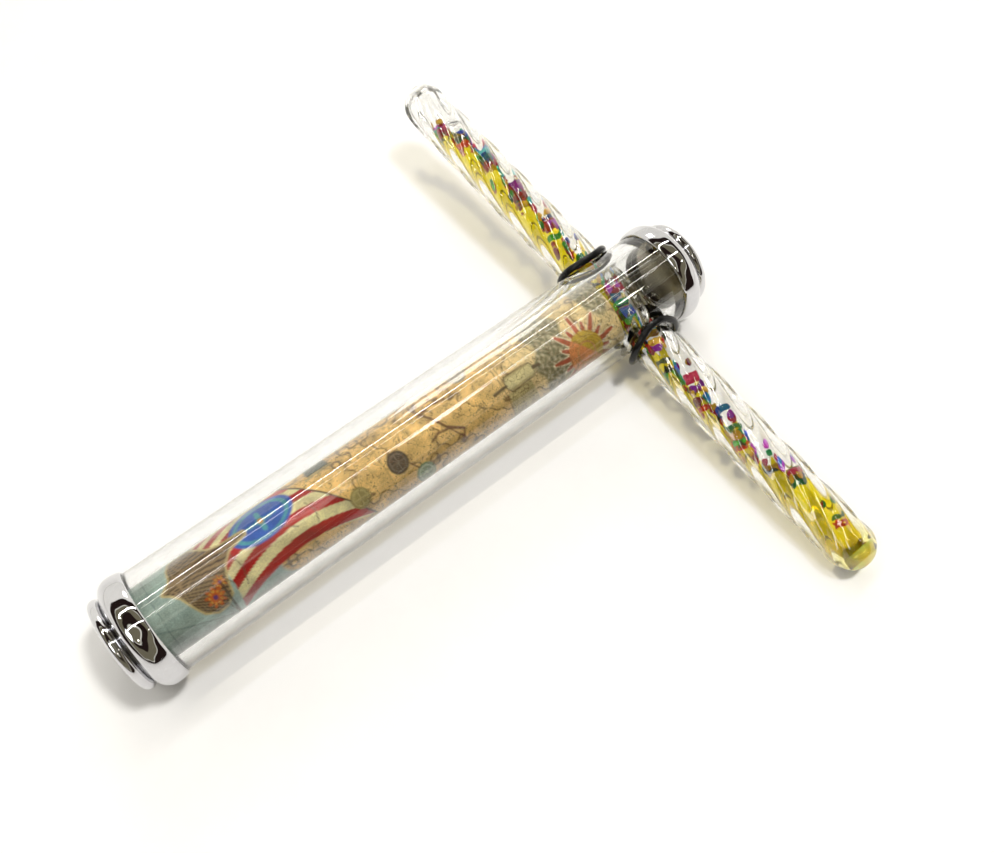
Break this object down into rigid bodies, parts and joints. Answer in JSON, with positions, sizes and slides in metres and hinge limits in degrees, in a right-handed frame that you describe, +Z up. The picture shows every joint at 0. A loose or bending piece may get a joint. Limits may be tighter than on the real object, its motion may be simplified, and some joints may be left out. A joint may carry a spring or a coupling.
{
  "type": "kaleidoscope",
  "caption": "Wand kaleidoscope: clear barrel with chrome end caps, a mirror cell inside a printed picture tube, and a liquid-filled glitter wand that turns in cross holes.",
  "frame": {"origin": "centre of the eye hole on the eyepiece's outer face", "axes": "+X runs along the barrel from the eyepiece to the objective end, +Z is up, and the wand lies along Y with its low tip at -Y. The object lies as on a table, on the two cap beads and the wand's low tip, so the surface is at z = -24.1 mm."},
  "size_m": [0.29, 0.3088, 0.0482],
  "materials": {
    "barrel_acrylic": "polished",
    "chrome_plate": "polished",
    "lens_acrylic": "polished",
    "card": "matte",
    "mirror_glass": "polished",
    "picture_paper": "satin",
    "black_tape": "satin",
    "black_foam": "matte",
    "black_rubber": "satin",
    "wand_acrylic": "polished",
    "plug_resin": "gloss",
    "yellow_liquid": "polished",
    "foil_purple": "polished",
    "foil_crimson": "polished",
    "foil_blue": "polished",
    "foil_green": "polished",
    "foil_gold": "polished",
    "foil_teal": "polished",
    "foil_red": "polished",
    "foil_navy": "polished"
  },
  "bodies": {
    "barrel": {"barrel_tube": "barrel_acrylic", "eyepiece_cap": "chrome_plate", "eyepiece_bezel": "chrome_plate", "eye_lens": "lens_acrylic", "eye_lens_washer": "card", "objective_cap": "chrome_plate", "objective_bezel": "chrome_plate", "reflector_disc": "mirror_glass", "picture_sleeve": "picture_paper", "card_tube": "card", "mirror_base": "mirror_glass", "mirror_left": "mirror_glass", "mirror_right": "mirror_glass", "mirror_tape": "black_tape", "rear_foam_ring": "black_foam", "front_foam_ring": "black_foam", "front_window": "lens_acrylic"},
    "ring_pair": {"o_ring_upper": "black_rubber", "o_ring_lower": "black_rubber"},
    "wand": {"wand_shell": "wand_acrylic", "wand_plug": "plug_resin", "wand_liquid": "yellow_liquid", "foil_squares_purple": "foil_purple", "foil_squares_crimson": "foil_crimson", "foil_squares_blue": "foil_blue", "foil_strips_green": "foil_green", "foil_strips_gold": "foil_gold", "foil_dots_teal": "foil_teal", "foil_stars_red": "foil_red", "foil_moons_navy": "foil_navy"}
  },
  "joints": [
    {"name": "wand_slide", "type": "slide", "parent": "barrel", "child": "ring_pair", "axis": [0, 0.9958, 0.0918], "range_m": [0, 0.0017]},
    {"name": "wand_spin", "type": "hinge", "parent": "ring_pair", "child": "wand", "pos_m": [0.2514, 0, 0], "axis": [0, 0.9958, 0.0918], "continuous": true}
  ]
}
